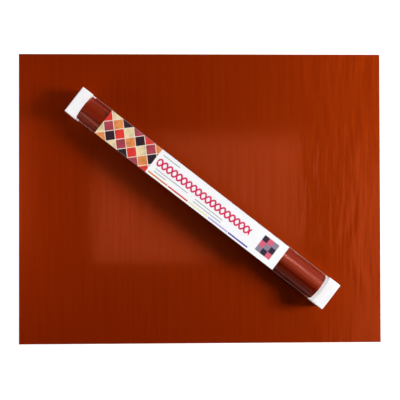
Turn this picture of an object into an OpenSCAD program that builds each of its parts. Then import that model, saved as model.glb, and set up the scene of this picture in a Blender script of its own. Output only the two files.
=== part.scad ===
// Reusable baking liner: one liner lies flat, and a second one lies across it in the pack
// that it is sold in: wound up in a clear square sleeve, under a card, between two end caps.
// Millimetres, +Z up. The origin is on the surface that everything lies on, below the middle
// of the flat liner. X runs along the liner's long side, and Y along its short side.

/* [Liner] */
// Long side of a liner, the one that is wound up in the pack
liner_l = 400; // [300:1:500]
// Short side of a liner, which is also how long the roll is
liner_w = 320; // [250:1:400]
// Thickness of the coated glass cloth
liner_t = 0.25; // [0.15:0.05:0.4]

/* [Roll] */
// Outer diameter of the roll
roll_d = 30; // [27:0.5:34]
// Clear gap between one turn of the roll and the next
turn_gap = 0.45; // [0.41:0.01:0.7]
// How far in front of the roll's top line its free edge lies
free_edge_y = 4; // [1:0.5:8]
// How far the roll has slid towards the left cap from the middle of the sleeve
roll_slid = 1.7; // [0:0.1:8]
// Length of sleeve that the roll leaves empty, both ends together
roll_end_room = 26.2; // [20:0.1:40]

/* [Sleeve] */
// Wall of the clear sleeve
sleeve_t = 0.3; // [0.2:0.05:0.5]
// Outer radius of the sleeve's four long edges
sleeve_r = 0.8; // [0.6:0.1:1.5]

/* [Card] */
// Length of the card
card_l = 240; // [150:1:300]
// Thickness of the card
card_t = 0.3; // [0.2:0.05:0.6]
// How far the card lies towards the left cap from the middle of the sleeve
card_slid = 14.4; // [0:0.1:20]

/* [Caps] */
// Length of a cap along the pack, at its corners
cap_l = 14; // [10:0.5:20]
// Thickness of the cap's end wall
cap_end_t = 1; // [0.6:0.1:2]
// Thickness of the cap's skirt, which goes round the sleeve
cap_skirt_t = 0.4; // [0.3:0.05:1]
// Radius of the cap's outer edges
cap_r = 1; // [0.7:0.1:1.5]
// How far the rim is drawn back in the middle of each side
cap_arch = 1.4; // [0.5:0.1:3]

/* [Place of the pack] */
// Angle between the pack and the liner's long side
pack_turn = 37.8; // [0:0.1:90]
// How far right of the liner's middle the pack's middle lies
pack_x = 1.7; // [-20:0.1:20]
// How far behind the liner's middle the pack's middle lies
pack_y = -0.3; // [-20:0.1:20]

/* [Fits] */
// Room round the roll where a wall or the card is next to it
roll_fit = 0.15; // [0.1:0.01:0.3]
// Room between the card and the sleeve
card_fit = 0.05; // [0.03:0.01:0.1]
// Room between a cap and the sleeve, round it and at its end
cap_fit = 0.1; // [0.05:0.01:0.2]
// Room between the caps' undersides and the flat liner
rest_fit = 0.1; // [0.05:0.01:0.3]

/* [Hidden] */

// How far a cut runs past the face that it leaves
overrun = 1;
// Segments of a full circle
$fn = 64;
// Steps in one turn of the roll
turn_steps = 36;

// The sleeve's hollow is as wide and as high as the roll and the card need
sleeve_in_r = sleeve_r - sleeve_t;
card_inset = sleeve_in_r * (1 - sqrt(1 / 2)) + card_fit;
sleeve_in = roll_d + 2 * roll_fit + card_t + card_inset;
sleeve_w = sleeve_in + 2 * sleeve_t;
sleeve_l = liner_w + roll_end_room;
card_w = sleeve_in - 2 * card_inset;

// The caps go round the sleeve and carry the pack
cap_in = sleeve_w + 2 * cap_fit;
cap_w = cap_in + 2 * cap_skirt_t;
skirt_l = cap_l - cap_end_t;
pack_z = liner_t + rest_fit;

// Heights above the caps' undersides
axis_z = cap_w / 2;
floor_z = axis_z - sleeve_in / 2;
roll_z = floor_z + roll_fit + roll_d / 2;
card_z = axis_z + sleeve_in / 2 - card_inset - card_t;

// The middle of the cloth is a spiral whose radius falls by one pitch a turn. Its length is the
// liner's long side, which gives the angle that it is wound through.
pitch = liner_t + turn_gap;
spiral_r = (roll_d - liner_t) / 2;
inner_r = sqrt(spiral_r * spiral_r - liner_l * pitch / PI);
wound = 360 * (spiral_r - inner_r) / pitch;
// The free edge is at this angle from the y axis, and the cloth winds back and inwards from it
free_edge_a = 90 + asin(free_edge_y / spiral_r);
wound_steps = ceil(turn_steps * wound / 360);

// A point of the spiral, at a distance out from the middle of the cloth
function spiral_point(turned, out) =
    (spiral_r - pitch * turned / 360 + out)
    * [cos(free_edge_a - turned), sin(free_edge_a - turned)];
// Whole steps from the free edge, so the turns' corners line up, and the last step cut short
function spiral_side(out) = [
    for (k = [0 : wound_steps])
        spiral_point(min(360 * k / turn_steps, wound), out)
];
outer_side = spiral_side(liner_t / 2);
inner_side = spiral_side(-liner_t / 2);

// The least gap between one turn and the next, measured from corner to face on the points
function to_face(p, a, b) = abs((b - a)[0] * (p - a)[1] - (b - a)[1] * (p - a)[0]) / norm(b - a);
least_gap = min([
    for (k = [turn_steps : wound_steps - 1])
        to_face(outer_side[k], inner_side[k - turn_steps], inner_side[k - turn_steps + 1])
]);
echo(turns = wound / 360, least_gap = least_gap, bore = 2 * inner_r - liner_t);
echo(cap_w = cap_w, sleeve_w = sleeve_w, pack_l = sleeve_l + 2 * (cap_fit + cap_end_t));

// A square with round corners, from squares and circles
module round_square(w, r) {
    square([w, w - 2 * r], center = true);
    square([w - 2 * r, w], center = true);
    for (x = [-1, 1], y = [-1, 1])
        translate([x, y] * (w / 2 - r))
            circle(r);
}

// A cross-section drawn as seen along the pack, run along it from x = 0
module along_pack(l) {
    rotate([90, 0, 90])
        linear_extrude(l)
            children();
}

// The pack's own frame: x along it, y across it, z up from the caps' undersides
module in_pack() {
    translate([pack_x, pack_y, pack_z])
        rotate([0, 0, -pack_turn])
            children();
}

// The liner that lies open under the pack
module flat_liner() {
    color("#8f3216")
        translate([-liner_l / 2, -liner_w / 2, 0])
            cube([liner_l, liner_w, liner_t]);
}

// The second liner, wound up
module rolled_liner() {
    color("#7d2208")
        in_pack()
            translate([-roll_slid - liner_w / 2, 0, roll_z])
                along_pack(liner_w)
                    polygon(concat(outer_side, [
                        for (k = [wound_steps : -1 : 0])
                            inner_side[k]
                    ]));
}

// The clear sleeve, a thin square tube open at both ends
module clear_sleeve() {
    color("#d9c4bd", 0.35)
        in_pack()
            translate([-sleeve_l / 2, 0, axis_z])
                along_pack(sleeve_l)
                    difference() {
                        round_square(sleeve_w, sleeve_r);
                        round_square(sleeve_in, sleeve_in_r);
                    }
}

// The card between the roll and the sleeve's top
module label_card() {
    color("#f4f4f6")
        in_pack()
            translate([-card_slid - card_l / 2, -card_w / 2, card_z])
                cube([card_l, card_w, card_t]);
}

// The cap's outline seen square to one side, with its two end corners rounded.
// x = 0 is the inside of its end wall, and the rim is at negative x.
module cap_outline() {
    translate([-skirt_l, -cap_w / 2])
        square([cap_l - cap_r, cap_w]);
    translate([-skirt_l, cap_r - cap_w / 2])
        square([cap_l, cap_w - 2 * cap_r]);
    for (y = [-1, 1])
        translate([cap_end_t - cap_r, y * (cap_w / 2 - cap_r)])
            circle(cap_r);
}

// The round cut that draws the rim back in the middle of two opposite sides
module rim_arch() {
    arch_r = (cap_w * cap_w / 4 + cap_arch * cap_arch) / (2 * cap_arch);
    translate([cap_arch - skirt_l - arch_r, 0])
        cylinder(h = cap_w + 2 * overrun, r = arch_r, center = true, $fn = 180);
}

// A cap: an end wall and a skirt with an arched rim, rounded on all its outer edges
module end_cap() {
    difference() {
        intersection() {
            translate([-skirt_l, 0])
                along_pack(cap_l)
                    round_square(cap_w, cap_r);
            linear_extrude(cap_w, center = true)
                cap_outline();
            rotate([90, 0])
                linear_extrude(cap_w, center = true)
                    cap_outline();
        }
        translate([-skirt_l - overrun, 0])
            along_pack(skirt_l + overrun)
                round_square(cap_in, sleeve_r + cap_fit);
        rim_arch();
        rotate([90, 0])
            rim_arch();
    }
}

// Places a cap that is drawn at the pack's right-hand end, or turns it round for the left
module at_end(side) {
    in_pack()
        rotate([0, 0, side > 0 ? 0 : 180])
            translate([sleeve_l / 2 + cap_fit, 0, axis_z])
                children();
}

// The cap at the pack's upper left end
module left_end_cap() {
    color("#f2f2f2")
        at_end(-1)
            end_cap();
}

// The cap at the pack's lower right end
module right_end_cap() {
    color("#f2f2f2")
        at_end(1)
            end_cap();
}

flat_liner();
rolled_liner();
clear_sleeve();
label_card();
left_end_cap();
right_end_cap();
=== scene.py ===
# %% [markdown]
# # A reusable baking liner, flat and in its pack
# The photograph is taken from straight above. A brown sheet of coated glass cloth lies open on a
# white table, and across it lies a second one in its pack: wound up in a clear square sleeve, under
# a printed card, between two white end caps.
#
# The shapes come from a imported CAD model, which is loaded first. Its soft pieces, the two cloths,
# are built again here as finer surfaces, because cloth bends and shines in ways that a plain solid
# does not show. Its hard pieces stay as they are and only get their finishes.
#
# Everything is in metres. X runs along the long side of the flat liner, Y along its short side,
# and Z is up from the table.

# %% Load the model
import math

import bpy
import numpy as np
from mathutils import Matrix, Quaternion, Vector


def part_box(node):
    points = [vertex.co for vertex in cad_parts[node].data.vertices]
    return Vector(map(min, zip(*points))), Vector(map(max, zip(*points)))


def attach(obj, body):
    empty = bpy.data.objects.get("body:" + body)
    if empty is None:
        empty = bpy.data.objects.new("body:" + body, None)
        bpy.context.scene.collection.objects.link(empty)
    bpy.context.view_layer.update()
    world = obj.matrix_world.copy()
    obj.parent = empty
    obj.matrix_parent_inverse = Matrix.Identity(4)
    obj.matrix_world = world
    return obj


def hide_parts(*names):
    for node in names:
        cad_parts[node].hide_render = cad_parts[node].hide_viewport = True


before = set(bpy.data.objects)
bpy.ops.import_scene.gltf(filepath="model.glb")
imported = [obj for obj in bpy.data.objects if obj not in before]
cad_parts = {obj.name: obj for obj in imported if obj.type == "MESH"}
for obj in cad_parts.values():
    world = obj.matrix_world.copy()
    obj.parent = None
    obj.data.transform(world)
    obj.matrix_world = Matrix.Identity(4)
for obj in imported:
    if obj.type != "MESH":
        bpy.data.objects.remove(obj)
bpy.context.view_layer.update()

mm = 0.001
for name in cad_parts:
    low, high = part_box(name)
    print(name, "from", [round(c / mm, 1) for c in low], "to", [round(c / mm, 1) for c in high])

# %% [markdown]
# ## The camera
# The corners of the flat liner, of the caps and of the card are at known places, and each is seen
# at a known point of the photograph. A camera was fitted to those pairs. It hangs just under a
# metre above the table, and is turned by only a degree or two from straight down. The turn is
# written as one axis, as long as its angle, which is how the fit gives it.

# %% Place the camera
camera_place = Vector((-27.61, -12.87, 963.4)) * mm
camera_turn = Vector((0.670, -1.608, -0.145)) * math.radians(1)
focal_px = 870.2
photo_px = 400

camera = bpy.data.objects.new("camera", bpy.data.cameras.new("camera"))
camera.rotation_mode = "QUATERNION"
camera.location = camera_place
camera.rotation_quaternion = Quaternion(camera_turn, camera_turn.length)
camera.data.sensor_width = 36
camera.data.lens = camera.data.sensor_width * focal_px / photo_px
camera.data.clip_start = 0.01
camera.data.clip_end = 50
bpy.context.scene.collection.objects.link(camera)
bpy.context.scene.camera = camera
print("lens", round(camera.data.lens, 1), "mm")

# %% [markdown]
# ## Sockets that can be added and multiplied
# A material in Blender is a graph of nodes, and a pattern is mostly arithmetic: a sine here, a mask
# times a colour there. Placing those nodes by hand hides the formula. Here one small class wraps a
# node's output, and +, -, * and / on it add the Math nodes, so a formula stays one line of Python.

# %% Wrap a socket, and build a finish from nodes
class Wire:
    """An output socket of a node in a finish. Arithmetic on it adds Math nodes."""

    def __init__(self, finish, socket):
        self.finish = finish
        self.socket = socket

    def math(self, operation, *values):
        """The wire from a Math node for an operation on values, wires or plain numbers."""
        sockets = dict(enumerate(values))
        return self.finish.node("ShaderNodeMath", {"operation": operation}, sockets)

    def __add__(self, other):
        return self.math("ADD", self, other)

    def __radd__(self, other):
        return self.math("ADD", other, self)

    def __sub__(self, other):
        return self.math("SUBTRACT", self, other)

    def __rsub__(self, other):
        return self.math("SUBTRACT", other, self)

    def __mul__(self, other):
        return self.math("MULTIPLY", self, other)

    def __rmul__(self, other):
        return self.math("MULTIPLY", other, self)

    def __truediv__(self, other):
        return self.math("DIVIDE", self, other)

    def __rtruediv__(self, other):
        return self.math("DIVIDE", other, self)

    def __abs__(self):
        return self.math("ABSOLUTE", self)

    def sin(self):
        return self.math("SINE", self)

    def floor(self):
        return self.math("FLOOR", self)

    def wrap(self, count):
        """A whole number counted round from 0 to count - 1."""
        return self.math("FLOORED_MODULO", self, count)

    def least(self, other):
        """The smaller of this and the other."""
        return self.math("MINIMUM", self, other)

    def most(self, other):
        """The larger of this and the other."""
        return self.math("MAXIMUM", self, other)

    def within(self, low, high, soft):
        """1 between low and high and 0 outside, with edges that are soft wide."""
        half = soft / 2
        return self.step(low - half, low + half) * (1 - self.step(high - half, high + half))

    def step(self, low, high):
        """0 where the value is at most low, 1 where it is at least high, and smooth between."""
        settings = {"interpolation_type": "SMOOTHSTEP"}
        sockets = {"Value": self, "From Min": low, "From Max": high}
        return self.finish.node("ShaderNodeMapRange", settings, sockets)


class Finish:
    """A material, or the room round the object, that is being made. node() adds any node to it."""

    def __init__(self, name, kind="materials"):
        self.owner = getattr(bpy.data, kind).new(name)
        self.owner.use_nodes = True
        self.tree = self.owner.node_tree
        self.tree.nodes.clear()

    def node(self, kind, settings=None, sockets=None, out=0):
        """Adds a node of a kind. Its settings are set first, and then its sockets get values or
        wires. Returns the wire from one of its outputs."""
        made = self.tree.nodes.new(kind)
        for key, value in (settings or {}).items():
            setattr(made, key, value)
        for key, value in (sockets or {}).items():
            if isinstance(value, Wire):
                self.tree.links.new(value.socket, made.inputs[key])
            else:
                made.inputs[key].default_value = value
        return Wire(self, made.outputs[out]) if made.outputs else None

    def blend(self, factor, one, other):
        """A colour that goes from one to the other as factor goes from 0 to 1."""
        colours = [c if isinstance(c, Wire) else (*c, 1) for c in (one, other)]
        sockets = {"Factor": factor, 6: colours[0], 7: colours[1]}
        return self.node("ShaderNodeMix", {"data_type": "RGBA"}, sockets, out=2)

    def axes(self, vector):
        """The x, y and z of a vector, as three wires."""
        parts = self.node("ShaderNodeSeparateXYZ", None, {"Vector": vector}).socket.node
        return [Wire(self, parts.outputs[letter]) for letter in "XYZ"]

    def seen(self, mirrored=1.0):
        """1 for what the camera sees directly, mirrored for what it sees in a shiny face or
        through glass, and 0 for the light that falls on things."""
        path = self.node("ShaderNodeLightPath").socket.node.outputs
        direct, glossy, through = (
            Wire(self, path[f"Is {kind} Ray"]) for kind in ("Camera", "Glossy", "Transmission")
        )
        return direct.most(glossy.most(through) * mirrored)

    def noise(self, vector, scale, detail=2.0, roughness=0.5):
        """Noise from 0 to 1. scale is how many lumps there are in a metre, or in each direction."""
        if not isinstance(scale, tuple):
            scale = (scale, scale, scale)
        scaled = self.node("ShaderNodeVectorMath", {"operation": "MULTIPLY"}, {0: vector, 1: scale})
        sockets = {"Vector": scaled, "Scale": 1.0, "Detail": detail, "Roughness": roughness}
        return self.node("ShaderNodeTexNoise", None, sockets)

    def done(self, shader, output="ShaderNodeOutputMaterial"):
        """Ends the finish with its shader, and returns the material or the room."""
        self.node(output, None, {"Surface": shader})
        print("the finish", self.owner.name, "has", len(self.tree.nodes), "nodes")
        return self.owner


def dress(piece, material):
    """Gives a piece one material, in all its slots."""
    piece.data.materials.clear()
    piece.data.materials.append(material)

# %% [markdown]
# ## Where the pack lies
# The pack lies at a slant across the flat liner, on its two caps. Much of what follows keeps to its
# direction: the roll and the card, the dark band in the sheen, and the faces of the sleeve and the
# caps that look sideways. So its place comes first, with a function that tells how much of a place
# or a direction points across it. Wires can be added and multiplied as numbers can, so that one
# function serves the shapes and the finishes alike.

# %% Place the pack
liner_t = 0.25 * mm
rest_fit = 0.1 * mm
pack_place = np.array([1.7 * mm, -0.3 * mm, liner_t + rest_fit])
pack_turn = math.radians(-37.8)
pack_cos = math.cos(pack_turn)
pack_sin = math.sin(pack_turn)


def across_pack(x, y):
    """The part of (x, y) that points across the pack, to its back: y times the cosine of its turn
    less x times the sine."""
    return y * pack_cos - x * pack_sin


print("the pack is turned", round(math.degrees(pack_turn), 1), "degrees")
print("its caps are", round(pack_place[2] / mm, 2), "mm above the table")

# %% [markdown]
# ## Light and table
# Shadows tell where lamps stood. The deep one along the lower side of the pack asks for a strong
# lamp on the right, and the paler one above the pack's left end asks for small ones on the left. To
# find how strong, the scene was rendered once for each of some sixty possible lamps, with only
# that lamp on. Light adds up, so the strengths that come nearest to the photograph are then a
# least-squares problem. These six lamps are what it left, touched up. A lamp's power is
# worked out from how bright its face has to look, so that lamps of different sizes can be compared.

# %% Hang the lamps
def softbox(name, middle, size, brightness):
    """A rectangular lamp at middle that faces the object. size is its width and its length, and
    brightness is the radiance of its face, where 1 looks white. Power = 4 x area x radiance."""
    lamp = bpy.data.lights.new(name, "AREA")
    lamp.shape = "RECTANGLE"
    lamp.size, lamp.size_y = size
    lamp.energy = 4 * size[0] * size[1] * brightness
    piece = bpy.data.objects.new(name, lamp)
    piece.location = middle
    piece.rotation_mode = "QUATERNION"
    piece.rotation_quaternion = (-middle).to_track_quat("-Z", "Y")
    piece.visible_camera = False
    bpy.context.scene.collection.objects.link(piece)
    print(name, "power", round(lamp.energy, 1), "W")


def round_the_object(azimuth, tilt, distance):
    """The place at an azimuth from +X and a tilt from straight up, in degrees, and a distance."""
    a, t = math.radians(azimuth), math.radians(tilt)
    return Vector((math.sin(t) * math.cos(a), math.sin(t) * math.sin(a), math.cos(t))) * distance


for name, azimuth, tilt, distance, size, brightness in (
    ("right_softbox", 0, 55, 2.0, (0.60, 0.60), 40),
    ("right_low_softbox", 20, 68, 2.0, (0.60, 0.60), 4.0),
    ("back_right_softbox", 42, 47, 1.2, (0.30, 0.40), 5.4),
    ("left_softbox", 180, 65, 0.5, (0.18, 0.18), 2.7),
    ("left_low_softbox", 165, 70, 0.45, (0.16, 0.16), 3.0),
    ("front_left_softbox", 192, 62, 0.38, (0.14, 0.14), 1.1),
):
    softbox(name, round_the_object(azimuth, tilt, distance), size, brightness)

# %% [markdown]
# The sheen on the flat liner is a mirror image of what hung overhead: a pale rectangle in the
# middle, with a dark band along the pack, and a bright edge on the left and on the right. Area
# lamps could make these, but a lamp's sides are sharp. So they are plain planes whose material
# glows, and the glow is a product of soft steps, each of which fades one side out. The dark band
# is the arm that carries the camera.

# %% Hang the panels
def panel_finish(name, strength_at):
    """A glowing panel. strength_at gives its strength from the wires of x and y."""
    finish = Finish(name)
    place = finish.node("ShaderNodeTexCoord", out="Object")
    x, y = finish.axes(place)[:2]
    patchy = 0.9 + finish.noise(place, 6.0, 2.0) * 0.2
    glow = {"Color": (1, 1, 1, 1), "Strength": strength_at(x, y) * patchy}
    return finish.done(finish.node("ShaderNodeEmission", None, glow))


def hang_panel(name, x_span, y_span, height, strength_at):
    """A rectangle at a height that glows, that the camera itself does not see."""
    (left, right), (front, back) = x_span, y_span
    mesh = bpy.data.meshes.new(name)
    corners = [(left, front, height), (left, back, height), (right, back, height),
               (right, front, height)]
    mesh.from_pydata(corners, [], [(0, 1, 2, 3)])
    panel = bpy.data.objects.new(name, mesh)
    bpy.context.scene.collection.objects.link(panel)
    dress(panel, panel_finish(name + "_glow", strength_at))
    panel.visible_camera = False
    print(name, "is", round(right - left, 3), "by", round(back - front, 3), "m")


def middle_strength(x, y):
    """Soft on its four sides, the back one most, and dark below the arm, which runs along the
    pack. behind is the distance behind the arm's middle line."""
    behind = across_pack(x - 0.0382, y - 0.0153)
    beside = behind.step(0.030, 0.065) + (1 - behind.step(-0.165, -0.045))
    sides = x.step(-0.241, -0.223) * (1 - x.step(0.272, 0.298))
    ends = y.step(-0.150, -0.133) * (1 - y.step(0.145, 0.203))
    return beside * sides * ends * 1.5


def right_strength(x, y):
    """Grows from its left side on, and from its back side on."""
    return x.step(0.29, 0.41) * (1 - y.step(-0.02, 0.21)) * 1.1


def left_strength(x, y):
    """Soft on its right side and at both ends."""
    return (1 - x.step(-0.36, -0.32)) * y.step(-0.14, -0.04) * (1 - y.step(0.12, 0.22)) * 0.7


hang_panel("middle_panel", (-0.245, 0.300), (-0.155, 0.205), 1.2, middle_strength)
hang_panel("right_side_panel", (0.29, 0.45), (-0.32, 0.21), 0.9, right_strength)
hang_panel("left_side_panel", (-0.42, -0.32), (-0.14, 0.22), 0.9, left_strength)

# %% [markdown]
# The table is white and shows no edge. A white plane would throw much light back up and fill the
# shadows, which are deep in the photograph. So the plane is a mid grey that also glows, and it
# glows fully for the camera alone: it comes out white, and the shadows on it stay. The Light Path
# node tells the camera's own rays from the others. Far from the object the lamps' light is uneven,
# so there the grey gets darker and the glow takes its place. The room is made in the same way,
# white for the camera, nearly dark in reflections, and without any light of its own.

# %% Lay the table
# How brightly table and room show in shiny and clear faces, as a share of how the camera sees them
mirrored_share = 0.15
# How strongly the table glows near the object, where the lamps' light on the grey adds the rest
near_glow = 0.62


def table_finish():
    """Grey paper that glows for the camera, so that it is white and still shows shadows. Its glow
    is near_glow by the object and 1 far away."""
    finish = Finish("table_paper")
    place = finish.node("ShaderNodeTexCoord", out="Object")
    grain = finish.noise(place, 900.0, 3.0)
    away = finish.node("ShaderNodeVectorMath", {"operation": "LENGTH"}, {0: place}, out=1)
    far = away.step(0.35, 1.4)
    colour = finish.blend(grain, (0.48, 0.48, 0.48), (0.52, 0.52, 0.52))
    colour = finish.blend(far, colour, (0.12, 0.12, 0.12))
    paper = finish.node("ShaderNodeBsdfDiffuse", None, {"Color": colour})
    strength = finish.seen(mirrored_share) * (near_glow + far * (1 - near_glow))
    glow = finish.node(
        "ShaderNodeEmission", None, {"Color": (1, 1, 1, 1), "Strength": strength}
    )
    return finish.done(finish.node("ShaderNodeAddShader", None, {0: paper, 1: glow}))


def room_finish():
    """A room that is white round the horizon for the camera, and dark overhead."""
    finish = Finish("room", "worlds")
    height = finish.axes(finish.node("ShaderNodeTexCoord", out="Generated"))[2]
    backdrop = 1 - height.step(0.35, 0.75)
    strength = finish.seen(mirrored_share) * backdrop
    sockets = {"Color": (1, 1, 1, 1), "Strength": strength}
    return finish.done(finish.node("ShaderNodeBackground", None, sockets), "ShaderNodeOutputWorld")


table_half = 4.0
corners = np.array([[-1, -1], [1, -1], [1, 1], [-1, 1]]) * table_half
table_mesh = bpy.data.meshes.new("table")
table_mesh.from_pydata([(x, y, 0) for x, y in corners], [], [(0, 1, 2, 3)])
table = bpy.data.objects.new("table", table_mesh)
bpy.context.scene.collection.objects.link(table)
dress(table, table_finish())
bpy.context.scene.world = room_finish()
bpy.context.scene.view_settings.view_transform = "Standard"
print("the table is", 2 * table_half, "m square")

# %% [markdown]
# ## Sheets as closed surfaces
# Both liners and the card are thin sheets with two sides and a narrow edge. A plane with a Solidify
# modifier would do, but the two sides of a wound sheet follow different curves, so here each side
# is its own grid of points, and a band of faces round the border closes them.

# %% Make a sheet from its two sides
def closed_sheet(name, upper, lower, flat_x, flat_y):
    """A closed sheet from two grids of points, n by m by 3, for its upper and its lower side.
    flat_x (n) and flat_y (m) are the grid's places on the sheet laid flat, kept as its UV map.
    Each triple product of a triangle's corners is six times the volume that it makes with the
    origin, and where their sum is below zero, the faces point inwards and are turned round."""
    n, m = upper.shape[:2]
    points = np.concatenate([upper.reshape(-1, 3), lower.reshape(-1, 3)])
    index = np.arange(n * m).reshape(n, m)
    cells = np.stack([index[:-1, :-1], index[1:, :-1], index[1:, 1:], index[:-1, 1:]], -1)
    cells = cells.reshape(-1, 4)
    border = np.concatenate([index[:-1, 0], index[-1, :-1], index[:0:-1, -1], index[0, :0:-1]])
    after = np.roll(border, -1)
    band = np.stack([border + n * m, after + n * m, after, border], -1)
    faces = np.concatenate([cells, cells[:, ::-1] + n * m, band])

    a, b, c, d = (points[faces[:, k]] for k in range(4))
    volume = np.einsum("ij,ij->", a, np.cross(b, c) + np.cross(c, d)) / 6
    if volume < 0:
        faces = faces[:, ::-1]

    mesh = bpy.data.meshes.new(name)
    mesh.from_pydata(points.tolist(), [], faces.tolist())
    flat = np.stack(np.meshgrid(flat_x, flat_y, indexing="ij"), -1).reshape(-1, 2)
    flat = np.concatenate([flat, flat])
    corner = np.zeros(len(mesh.loops), int)
    mesh.loops.foreach_get("vertex_index", corner)
    layer = mesh.uv_layers.new(name="cloth")
    layer.data.foreach_set("uv", flat[corner].astype(np.float32).ravel())
    mesh.polygons.foreach_set("use_smooth", np.ones(len(faces), bool))
    mesh.set_sharp_from_angle(angle=math.radians(50))
    piece = bpy.data.objects.new(name, mesh)
    bpy.context.scene.collection.objects.link(piece)
    print(name, "has", len(faces), "faces and holds", round(abs(volume) / mm ** 3, 1), "mm3")
    return piece

# %% [markdown]
# ## The flat liner
# A coated glass cloth lies almost flat, but never quite: it was wound up before it was laid down,
# and keeps long faint ripples along its short side, most of them near the right edge. They are too
# low to see as shapes. They show in the sheen, as streaks where the picture of a panel breaks up.
# A bump texture could fake them, but as real points they are part of the shape, and not only of its
# finish.
#
# Under the pack the cloth is pressed flat. Past the pack's ends the ripples stay low, because its
# caps slide over them when they are pulled off.

# %% Work out the ripples
# How steep each wave is, and how much of their sum there is everywhere, and more at either side
wave_slope = 0.0085
share_everywhere = 0.08
share_at_right = 1.5
share_at_left = 0.3
# The pressed strip: half its length and half its width, and how far the ripples take to come back
pressed_half_l = 162 * mm
pressed_half_w = 20 * mm
pressed_fade = 25 * mm
# The share that is left past its ends, and how far beside its middle line that takes to end
share_past_ends = 0.33
beside_fade = 15 * mm


def s_curve(x, middle, soft):
    """The logistic curve, 1 / (1 + e^-t), where t is (x - middle) / soft. It rises from 0 to 1
    where x passes the middle, and falls there where soft is negative."""
    return 1 / (1 + np.exp(-(x - middle) / soft))


def ripples(x, y):
    """Height of the flat liner's underside: a sum of waves across x, all equally steep, whose
    crests wander and fade along y, lifted until the lowest one touches the table. An S-curve
    brings in their full share past the middle of the right half, and a smaller one brings in a
    little near the left edge."""
    rise = np.zeros_like(x)
    rng = np.random.default_rng(7)
    for length in (31, 19, 12, 8.5, 6.5, 5, 4):
        wave = 2 * np.pi / (length * mm)
        turn, shift, puff = rng.uniform(0, 2 * np.pi, 3)
        sway = rng.uniform(0.2, 0.45) * length * mm
        wander = sway * np.sin(2 * np.pi * y / (rng.uniform(70, 160) * mm) + shift)
        strong = 0.55 + 0.45 * np.sin(2 * np.pi * y / (rng.uniform(40, 110) * mm) + puff)
        rise += strong * wave_slope / wave * np.sin(wave * (x + wander) + turn)
    right = s_curve(x, 114 * mm, 12 * mm)
    left = s_curve(x, -150 * mm, -10 * mm)
    share = share_everywhere + share_at_right * right + share_at_left * left
    return (rise - rise.min()) * share


def pressed_flat(x, y):
    """The share of the ripples that is left near the pack: none in the strip that its weight
    presses flat, and more with the distance from the strip, by a smooth step. Past the strip's
    ends a third is left at most, and all of it only beside them."""
    x = x - pack_place[0]
    y = y - pack_place[1]
    along = x * pack_cos + y * pack_sin
    across = across_pack(x, y)
    away = np.hypot(np.maximum(abs(along) - pressed_half_l, 0), across)
    share = np.clip((away - pressed_half_w) / pressed_fade, 0, 1)
    beside = np.clip((abs(across) - pressed_half_w) / beside_fade, 0, 1)
    return share * share * (3 - 2 * share) * (share_past_ends + (1 - share_past_ends) * beside)

# %% [markdown]
# The liner is a grid of columns along its short side. The ripples on the right are the steepest,
# so the columns get closer together towards it: their places follow a shallow parabola.

# %% Lay the flat liner
liner_l = 0.400
liner_w = 0.320
step = np.linspace(0, 1, 561)
grid_x = liner_l * (1.3 * step - 0.3 * step ** 2 - 0.5)
grid_y = np.linspace(-liner_w / 2, liner_w / 2, 73)
x, y = np.meshgrid(grid_x, grid_y, indexing="ij")
rise = ripples(x, y) * pressed_flat(x, y)
print("the flat liner's ripples are up to", round(rise.max() / mm, 3), "mm high")
under = np.stack([x, y, rise], -1)
over = under + np.array([0, 0, liner_t])
flat_cloth = closed_sheet(
    "flat_cloth", over, under, grid_x + liner_l / 2, grid_y + liner_w / 2
)
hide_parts("flat_liner")
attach(flat_cloth, "liner")

# %% [markdown]
# ## The sizes inside the pack
# The pack's pieces fill each other. The roll and the card fill the sleeve, and the sleeve fills the
# caps. So their sizes are sums of a few thicknesses and of the room that each fit needs. They are
# the CAD model's own sums, because what is built here has to lie where its solids lie.

# %% Add up the pack
roll_d = 30 * mm
roll_fit = 0.15 * mm
card_t = 0.3 * mm
card_fit = 0.05 * mm
sleeve_t = 0.3 * mm
sleeve_in_r = 0.5 * mm
cap_fit = 0.1 * mm
cap_skirt_t = 0.4 * mm

card_inset = sleeve_in_r * (1 - math.sqrt(1 / 2)) + card_fit
sleeve_in = roll_d + 2 * roll_fit + card_t + card_inset
card_w = sleeve_in - 2 * card_inset
cap_w = sleeve_in + 2 * (sleeve_t + cap_fit + cap_skirt_t)

# Heights above the caps' undersides
axis_z = cap_w / 2
roll_z = axis_z - sleeve_in / 2 + roll_fit + roll_d / 2
card_z = axis_z + sleeve_in / 2 - card_inset - card_t
print("the caps are", round(cap_w / mm, 2), "mm square, and the sleeve's hollow",
      round(sleeve_in / mm, 2), "mm")

# %% [markdown]
# ## The wound liner
# The second liner is the same cloth, wound up. Its cross-section is a spiral that loses one pitch a
# turn, the pitch being the cloth and the gap to the next turn, and it is wound through the angle
# at which the curve is as long as the cloth. One free edge shows on top of the roll.

# %% Wind the second liner
turn_gap = 0.45 * mm
pitch = liner_t + turn_gap
free_edge_y = 4 * mm
roll_slid = 1.7 * mm

spiral_r = (roll_d - liner_t) / 2
inner_r = math.sqrt(spiral_r ** 2 - liner_l * pitch / math.pi)
wound = 2 * math.pi * (spiral_r - inner_r) / pitch
print("the roll has", round(wound / 2 / math.pi, 2), "turns")
turned = np.linspace(0, wound, 640)
radius = spiral_r - pitch * turned / (2 * math.pi)
angle = math.pi / 2 + math.asin(free_edge_y / spiral_r) - turned
steps = np.hypot(np.diff(radius * np.cos(angle)), np.diff(radius * np.sin(angle)))
length = np.concatenate([[0], np.cumsum(steps)])
print("the wound cloth is", round(length[-1] / mm, 1), "mm long")
along = np.linspace(-liner_w / 2, liner_w / 2, 17)


def in_pack(points):
    """Moves points from the pack's own frame, x along it and z up, to where the pack lies."""
    turn = np.array([[pack_cos, pack_sin, 0], [-pack_sin, pack_cos, 0], [0, 0, 1]])
    return points @ turn + pack_place


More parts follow.
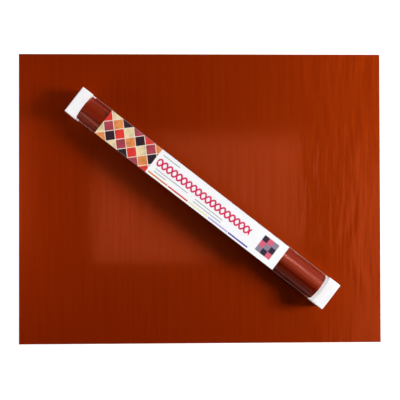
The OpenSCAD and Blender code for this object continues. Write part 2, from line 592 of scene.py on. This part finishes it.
def side(out):
    """One side of the wound cloth, a distance out from its middle: the spiral, carried along."""
    points = np.empty((len(radius), len(along), 3))
    points[:, :, 0] = along - roll_slid
    points[:, :, 1] = ((radius + out) * np.cos(angle))[:, None]
    points[:, :, 2] = ((radius + out) * np.sin(angle) + roll_z)[:, None]
    return in_pack(points)


wound_cloth = closed_sheet(
    "wound_cloth", side(liner_t / 2), side(-liner_t / 2), length, along + liner_w / 2
)
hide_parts("rolled_liner")
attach(wound_cloth, "roll")

# %% [markdown]
# ## The card
# The card that names the goods lies between the roll and the sleeve's top. It is a third thin
# sheet, stiff and flat, so the same function makes it. It is a hair lower along its two long edges,
# because a card pressed between a roll and a flat wall bows over the roll.

# %% Lay the card on the roll
card_l = 240 * mm
card_slid = 14.4 * mm
bow_h = 0.03 * mm
card_x = np.linspace(-card_l / 2, card_l / 2, 61)
card_y = np.linspace(-card_w / 2, card_w / 2, 13)
x, y = np.meshgrid(card_x, card_y, indexing="ij")
bow = -bow_h * (2 * y / card_w) ** 2
under = np.stack([x - card_slid, y, bow + card_z], -1)
over = under + np.array([0, 0, card_t])
printed_card = closed_sheet(
    "printed_card", in_pack(over), in_pack(under), card_x + card_l / 2, card_y + card_w / 2
)
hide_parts("label_card")
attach(printed_card, "card")

# %% [markdown]
# ## Coated glass cloth
# The cloth is woven of glass yarn and soaked in brown non-stick coating until it is smooth. Its
# colour is deep and saturated. It has two kinds of shine: one of its own colour, from the glass
# under the coating, and a fainter white one, from the coating's surface. Faint streaks run along
# the warp.

# %% Finish the cloths
yarn_pitch = 1.1 * mm


def cloth_finish(name, base, deep, yarn_shine, coat, coat_roughness, ragged):
    """Coated glass cloth. base and deep are its colour on top of the yarns and between them,
    yarn_shine is how much of the light the yarns mirror, coat is how much the coating does,
    coat_roughness is how blurred its mirror image is, and ragged is how much the streaks break up
    both kinds of shine."""
    finish = Finish(name)
    place = finish.node("ShaderNodeUVMap", {"uv_map": "cloth"})
    x, y = finish.axes(place)[:2]
    yarn = 2 * math.pi / yarn_pitch
    weave = (x * yarn).sin() * (y * yarn).sin() * 0.5 + 0.5
    streaks = finish.noise(place, (380.0, 9.0, 1.0), 2.0)
    clouds = finish.noise(place, (14.0, 8.0, 1.0), 3.0)
    tone = weave * 0.2 + streaks * 0.8 + clouds * 0.3 - 0.15
    colour = finish.blend(tone, deep, base)
    polished = (weave + (streaks - 0.5) * ragged).step(0.62, 0.68)
    rough = 0.50 - polished * 0.42
    height = weave * 0.6 + streaks * 0.4
    normal = finish.node(
        "ShaderNodeBump", None, {"Strength": 1.0, "Distance": 0.0005 * mm, "Height": height}
    )
    return finish.done(finish.node("ShaderNodeBsdfPrincipled", None, {
        "Base Color": colour,
        "Roughness": rough,
        "IOR": 2.0,
        "Specular IOR Level": yarn_shine,
        "Specular Tint": (1.0, 0.12, 0.0, 1.0),
        "Coat Weight": (1 + (streaks - 0.5) * (ragged * 4.6)) * coat,
        "Coat IOR": 1.5,
        "Coat Roughness": coat_roughness,
        "Normal": normal,
    }))


dress(flat_cloth, cloth_finish(
    "liner_cloth", base=(0.150, 0.0062, 0.0), deep=(0.122, 0.0050, 0.0),
    yarn_shine=0.90, coat=0.10, coat_roughness=0.08, ragged=0.5,
))
# Painted light: the wound cloth is the same cloth as the flat liner, but its base and deep colours
# are painted about a fifth lighter, which brightens the roll as more light on it would.
dress(wound_cloth, cloth_finish(
    "wound_liner_cloth_painted_lighter", base=(0.182, 0.0088, 0.0004), deep=(0.152, 0.0071, 0.0002),
    yarn_shine=0.46, coat=0.74, coat_roughness=0.26, ragged=0.05,
))

# %% [markdown]
# ## The card's print
# The card is white and glossy. Its print is a plain design of our own in warm colours: a field of
# diamonds, a braid in magenta, a few hairlines, a bar of colours and a checked tile. Each is a
# formula in the card's own x and y in millimetres, and is painted over what lies below it.
#
# For the diamonds, x and y are added and subtracted, which turns a plain grid of squares onto its
# corners. The whole parts of the two sums number the diamonds, and what is left of them finds their
# seams.

# %% Draw the diamonds
diamond_w = 14.6
diamond_h = 15.0


def pick(finish, number, paints):
    """The paint whose place in the list is the whole number. Each paint covers the last one."""
    colour = paints[0]
    for k, paint in enumerate(paints[1:], 1):
        colour = finish.blend(number.step(k - 0.6, k - 0.4), colour, paint)
    return colour


def diamonds(finish, x, y):
    """Diamonds in five colours, worn in patches and with pale seams. rising and falling count them
    along the two slants, and a seam is where either is close to a whole number."""
    rising = x / diamond_w + y / diamond_h
    falling = x / diamond_w - y / diamond_h
    row = rising.floor()
    column = falling.floor()
    colour = pick(finish, (row + column * 2).wrap(5), [
        (0.46, 0.055, 0.085), (0.85, 0.30, 0.08), (0.022, 0.005, 0.013), (0.80, 0.04, 0.025),
        (0.88, 0.72, 0.42),
    ])
    place = finish.node("ShaderNodeCombineXYZ", None, {"X": x, "Y": y})
    worn = finish.noise(place, 0.10, 3.0).step(0.35, 0.80) * 0.4
    colour = finish.blend(worn, colour, (0.06, 0.010, 0.016))
    rising = rising - row
    falling = falling - column
    seam = rising.least(1 - rising).least(falling.least(1 - falling))
    return finish.blend(1 - seam.step(0.025, 0.045), colour, (0.85, 0.78, 0.66))

# %% [markdown]
# The braid is two threads that swing along x in opposite ways. A thread drawn as a band of equal
# height would be thin where it is steep. So the half height grows with the slope, as the long side
# of a right-angled triangle grows with its short one, and the thread looks equally thick all along.

# %% Draw the braid and the plain shapes
braid_wave = 13.0
braid_swing = 3.7
braid_half = 0.95
braid_y = 2.2


def braid(x, y):
    """1 on the two threads: within half a thickness of a sine of x and of its mirror image."""
    wave = 2 * math.pi / braid_wave
    swing = (x * wave).sin() * braid_swing
    slope = (x * wave + math.pi / 2).sin() * (braid_swing * wave)
    half = slope.math("SQRT", slope * slope + 1.0) * braid_half
    one = (abs(y - braid_y - swing) - half).step(-0.15, 0.15)
    other = (abs(y - braid_y + swing) - half).step(-0.15, 0.15)
    return (1 - one).most(1 - other)


def oblong(x, y, left, right, low, high, soft=0.2):
    """1 inside an oblong and 0 outside. soft is how wide its low and high edges are."""
    return x.within(left, right, 0.3) * y.within(low, high, soft)


# Left and right ends, height and thickness
hairlines = [
    (75, 118, -5.6, 0.85), (75, 91, -8.8, 0.85), (128, 165, -5.9, 0.85), (128, 165, -9.1, 0.85),
    (73, 95, 10.9, 0.9),
]
bar_left = 70
bar_step = 27
bar_gap = 1
bar_low = -13.3
bar_high = -11.7
bar = [(0.80, 0.22, 0.04), (0.72, 0.05, 0.03), (0.85, 0.78, 0.45), (0.50, 0.42, 0.70),
       (0.07, 0.04, 0.35)]
tile_left = 211.5
tile_low = -9.2
tile_size = 19.2
print("the print has", len(hairlines), "hairlines and a bar of", len(bar), "colours")

# %% [markdown]
# The shapes are painted one over the other, as a printer lays down one ink after another: first the
# card's own white, mottled a little, and last the tile.

# %% Print the card
def card_finish():
    """White card with shapes painted over it. x runs along the card, and y up from its middle."""
    finish = Finish("printed_card")
    place = finish.node("ShaderNodeUVMap", {"uv_map": "cloth"})
    x, y = finish.axes(place)[:2]
    x = x / mm
    y = (y - card_w / 2) / mm
    grain = finish.noise(place, 1500.0, 2.0)
    colour = finish.blend(grain, (0.915, 0.92, 0.93), (0.935, 0.94, 0.95))
    colour = finish.blend(x.within(-5, 68, 0.3), colour, diamonds(finish, x, y))
    colour = finish.blend(braid(x, y) * x.within(71.5, 197, 0.3), colour, (0.66, 0.008, 0.095))
    for left, right, height, thick in hairlines:
        line = oblong(x, y, left, right, height - thick / 2, height + thick / 2)
        colour = finish.blend(line, colour, (0.36, 0.36, 0.39))
    for k, paint in enumerate(bar):
        left = bar_left + bar_step * k
        stripe = oblong(x, y, left, left + bar_step - bar_gap, bar_low, bar_high)
        colour = finish.blend(stripe, colour, paint)

    across = (x - tile_left) / (tile_size / 3)
    up = (y - tile_low) / (tile_size / 3)
    checks = pick(finish, (across.floor() + up.floor() * 2).wrap(3), [
        (0.27, 0.23, 0.31), (0.028, 0.012, 0.040), (0.70, 0.12, 0.19),
    ])
    tile = oblong(
        x, y, tile_left, tile_left + tile_size, tile_low, tile_low + tile_size, soft=0.3
    )
    colour = finish.blend(tile, colour, checks)

    normal = {"Strength": 0.2, "Distance": 0.004 * mm, "Height": grain}
    return finish.done(finish.node("ShaderNodeBsdfPrincipled", None, {
        "Base Color": colour,
        "Roughness": 0.35 + grain * 0.1,
        "Normal": finish.node("ShaderNodeBump", None, normal),
    }))


dress(printed_card, card_finish())

# %% [markdown]
# ## The clear sleeve
# A clear film does two things: what is behind it shows through, and its face mirrors a little, more
# so where it is seen at a slant. Real glass would also bend the light, but a wall of a third of a
# millimetre hardly does. So the film is a mix of a transparent and a glossy shader. How much of it
# mirrors is Schlick's rule: a floor of 3 to 4%, rising with the fifth power of the slant. The
# Fresnel node is left out, because on the film's inner side it would mirror far too much.
#
# Light that runs inside the film comes out where the film is folded, so its four long edges show as
# pale lines. The edges are where a face looks partly sideways and partly up or down.

# %% Finish the clear sleeve
def clear_finish():
    """Clear film: transparent, glossy by its slant, and pale along the folded edges."""
    finish = Finish("clear_film")
    slant = finish.node("ShaderNodeLayerWeight", None, {"Blend": 0.5}, out=1)
    haze = finish.noise(finish.node("ShaderNodeTexCoord", out="Object"), 40.0, 2.0)
    gloss = 0.03 + haze * 0.01 + slant.math("POWER", slant, 5.0) * 0.96
    clear = finish.node("ShaderNodeBsdfTransparent", None, {"Color": (1, 1, 1, 1)})
    shine = finish.node("ShaderNodeBsdfGlossy", None, {"Roughness": 0.06})
    film = finish.node("ShaderNodeMixShader", None, {0: gloss, 1: clear, 2: shine})

    x, y, z = finish.axes(finish.node("ShaderNodeTexCoord", out="Normal"))
    fold = (abs(across_pack(x, y)) * abs(z)).step(0.15, 0.45)
    pale = finish.node("ShaderNodeBsdfDiffuse", None, {"Color": (0.90, 0.68, 0.66, 1)})
    return finish.done(finish.node("ShaderNodeMixShader", None, {0: fold * 0.13, 1: film, 2: pale}))


dress(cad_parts["clear_sleeve"], clear_finish())

# %% [markdown]
# ## The end caps
# The caps are moulded in thin white plastic with a satin face. They are the CAD model's own
# shapes, arched rims and all, and only need the finish. Milky plastic lets light through, which a
# share of a Translucent shader does. The light that goes in also wanders about between the walls
# until the inside is nearly as bright as the outside. Following it would take many bounces, so the
# faces that look inwards glow faintly instead.

# %% Finish the caps
def cap_finish():
    """White plastic with a satin face, so thin that some of the light goes through it. outward
    is below zero on the faces of the skirt that look towards the pack's middle line."""
    finish = Finish("white_plastic")
    place = finish.node("ShaderNodeTexCoord", out="Object")
    grain = finish.noise(place, 2500.0, 3.0)
    clouds = finish.noise(place, 60.0, 2.0)
    colour = finish.blend(clouds, (0.915, 0.915, 0.92), (0.93, 0.93, 0.935))
    normal = finish.node(
        "ShaderNodeBump", None, {"Strength": 0.4, "Distance": 0.01 * mm, "Height": grain}
    )
    x, y, z = finish.axes(place)
    toward_x, toward_y, toward_z = finish.axes(finish.node("ShaderNodeTexCoord", out="Normal"))
    across = across_pack(x - pack_place[0], y - pack_place[1])
    height = z - (pack_place[2] + axis_z)
    outward = across * across_pack(toward_x, toward_y) + height * toward_z
    inside = 1 - outward.step(-4 * mm, -2 * mm)
    face = finish.node("ShaderNodeBsdfPrincipled", None, {
        "Base Color": colour,
        "Roughness": 0.3 + grain * 0.1,
        "Emission Color": finish.blend(inside, (0, 0, 0), (0.60, 0.565, 0.57)),
        "Emission Strength": 1.0,
        "Normal": normal,
    })
    through = finish.node("ShaderNodeBsdfTranslucent", None, {"Color": colour})
    return finish.done(finish.node("ShaderNodeMixShader", None, {0: 0.45, 1: face, 2: through}))


cap_material = cap_finish()
dress(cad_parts["left_end_cap"], cap_material)
dress(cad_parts["right_end_cap"], cap_material)
